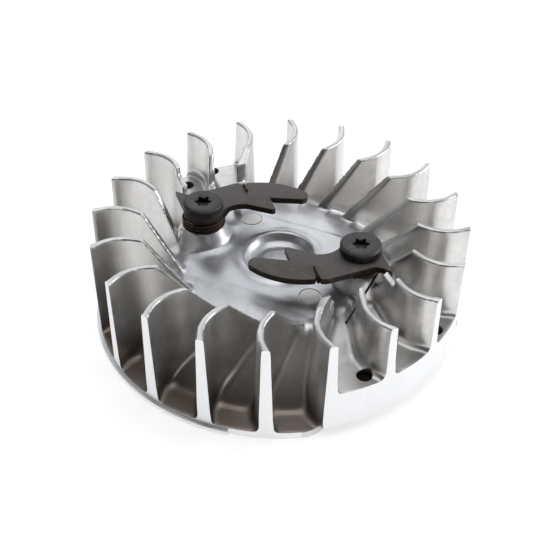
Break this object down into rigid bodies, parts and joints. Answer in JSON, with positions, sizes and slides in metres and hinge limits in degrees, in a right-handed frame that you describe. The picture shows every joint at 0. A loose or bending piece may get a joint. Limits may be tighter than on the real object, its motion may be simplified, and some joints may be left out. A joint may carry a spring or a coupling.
{
  "type": "engine flywheel",
  "caption": "Die-cast engine flywheel with a ring of curved blower fins, an ignition magnet segment, a counterweight and two sprung starter pawls on shoulder screws.",
  "frame": {"origin": "on the wheel axis, in the plane of the flange's underside", "axes": "+Z along the crankshaft, from the engine towards the starter; +X is the azimuth of the keyway"},
  "size_m": [0.111, 0.1109, 0.0331],
  "materials": {
    "cast_aluminium": "satin die-cast, turned on the outside of the fins and the band",
    "magnet": "ground",
    "lamination_steel": "turned flush with the band",
    "pawl_steel": "hardened and blackened, matt",
    "screw_steel": "black oxide",
    "spring_wire": "drawn and tempered wire"
  },
  "bodies": {
    "wheel": {"flywheel_casting": "cast_aluminium", "ignition_magnet": "magnet", "pole_shoe_leading": "lamination_steel", "pole_shoe_trailing": "lamination_steel", "pivot_screw_right": "screw_steel", "pawl_spring_right": "spring_wire", "pivot_screw_left": "screw_steel", "pawl_spring_left": "spring_wire"},
    "pawl_right": {"pawl_right": "pawl_steel"},
    "pawl_left": {"pawl_left": "pawl_steel"}
  },
  "joints": [
    {"name": "pawl_swing_right", "type": "hinge", "parent": "wheel", "child": "pawl_right", "pos_m": [0.02309, -0.00971, 0.0283], "axis": [0, 0, 1], "range_deg": [0, 25], "stiffness_Nm_per_rad": 0.02, "springref_deg": -28.65, "deforming": ["pawl_spring_right"]},
    {"name": "pawl_swing_left", "type": "hinge", "parent": "wheel", "child": "pawl_left", "pos_m": [-0.02309, 0.00971, 0.0283], "axis": [0, 0, 1], "range_deg": [0, 21], "stiffness_Nm_per_rad": 0.02, "springref_deg": -28.65, "deforming": ["pawl_spring_left"]}
  ]
}
